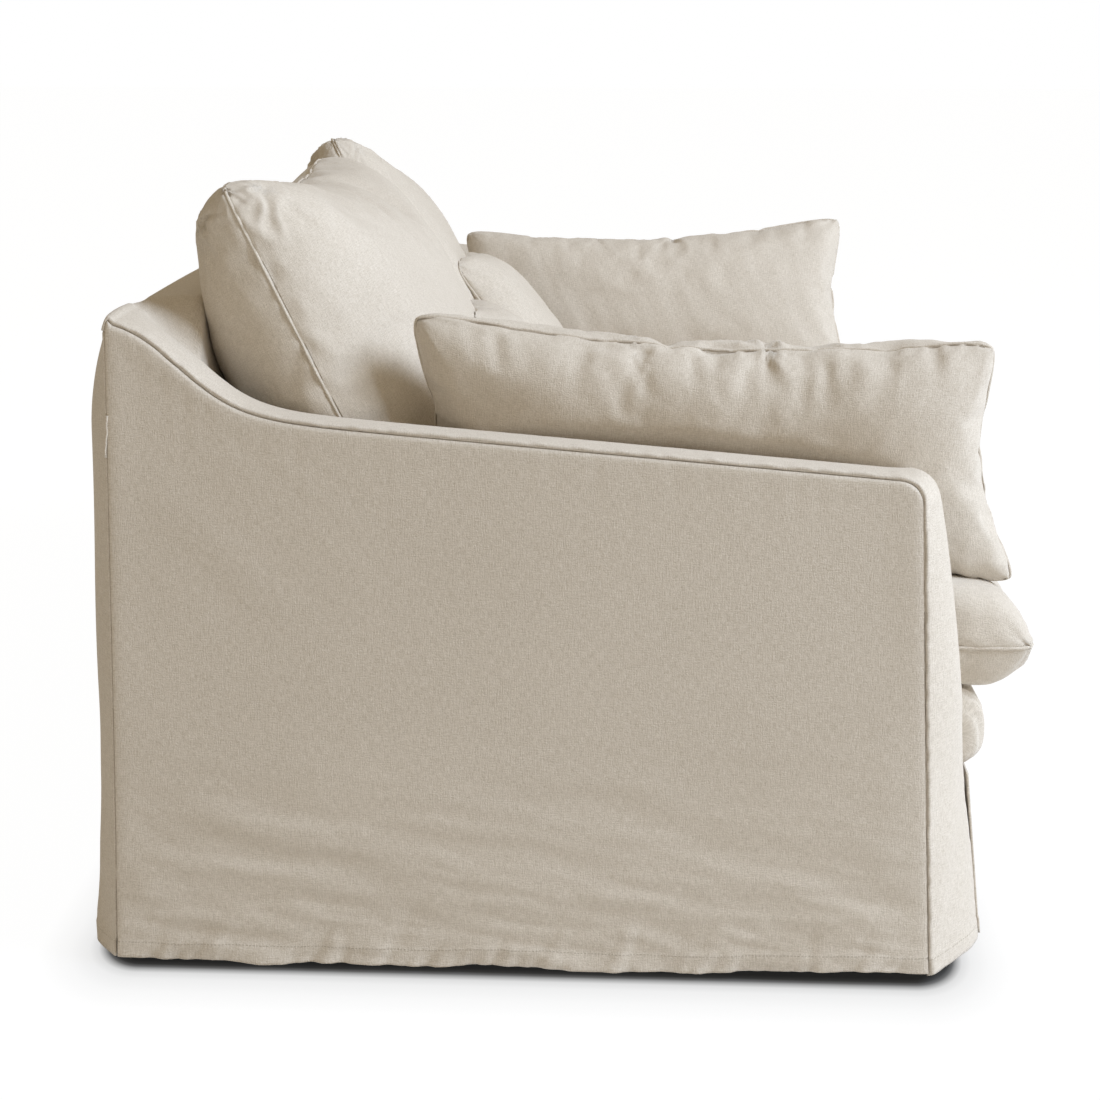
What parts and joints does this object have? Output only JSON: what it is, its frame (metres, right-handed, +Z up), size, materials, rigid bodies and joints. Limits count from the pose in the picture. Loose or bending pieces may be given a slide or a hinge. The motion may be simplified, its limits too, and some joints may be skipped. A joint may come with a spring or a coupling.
{
  "type": "loose-covered sofa with sloping arms",
  "caption": "Loose-covered linen sofa with sloping arms, a skirt to the floor, and loose seat, back, arm and lumbar cushions.",
  "frame": {"origin": "middle of the footprint, on the floor under the glides", "axes": "+X along the sofa's length towards the sitter's left, +Y towards the back, +Z up"},
  "size_m": [2.0744, 1.156, 0.9574],
  "materials": {
    "linen": "stonewashed natural linen loose cover, plain weave with slubs, matte",
    "cushion_linen": "stonewashed natural linen cushion covers with raised self seams, matte",
    "frame_timber": "sawn hardwood, bare",
    "leg_timber": "dark stained hardwood",
    "foam": "polyurethane foam and polyester wadding",
    "fibreboard": "hardboard panel, matte",
    "webbing": "woven elastic webbing",
    "glide": "nylon glide with a felt face"
  },
  "bodies": {
    "root": {"outside_arm_right": "linen", "outside_arm_left": "linen", "arm_band_right": "linen", "arm_band_left": "linen", "inside_arm_right": "linen", "inside_arm_left": "linen", "outside_back": "linen", "inside_back": "linen", "seat_deck_cover": "linen", "front_roll_cover": "linen", "front_skirt": "linen", "corner_pleat_right": "linen", "corner_pleat_left": "linen", "seat_cushion_right": "cushion_linen", "seat_cushion_left": "cushion_linen", "back_cushion_right": "cushion_linen", "back_cushion_left": "cushion_linen", "arm_pillow_right": "cushion_linen", "arm_pillow_left": "cushion_linen", "lumbar_pillow_right": "cushion_linen", "lumbar_pillow_left": "cushion_linen", "front_rail": "frame_timber", "back_rail": "frame_timber", "back_top_rail": "frame_timber", "back_stile": "frame_timber", "centre_rail": "frame_timber", "side_rail_right": "frame_timber", "side_rail_left": "frame_timber", "front_post_right": "frame_timber", "front_post_left": "frame_timber", "back_post_right": "frame_timber", "back_post_left": "frame_timber", "arm_rail_right": "frame_timber", "arm_rail_left": "frame_timber", "corner_block_front_right": "frame_timber", "corner_block_front_left": "frame_timber", "corner_block_back_right": "frame_timber", "corner_block_back_left": "frame_timber", "leg_front_right": "leg_timber", "leg_front_left": "leg_timber", "leg_back_right": "leg_timber", "leg_back_left": "leg_timber", "leg_centre": "leg_timber", "arm_pad_right": "foam", "arm_pad_left": "foam", "arm_foam_right": "foam", "arm_foam_left": "foam", "deck_pad": "foam", "back_pad": "foam", "front_roll_pad": "foam", "arm_board_right": "fibreboard", "arm_board_left": "fibreboard", "back_board": "fibreboard", "seat_webbing": "webbing", "back_webbing": "webbing", "glide_front_right": "glide", "glide_front_left": "glide", "glide_back_right": "glide", "glide_back_left": "glide", "glide_centre": "glide"}
  },
  "joints": []
}
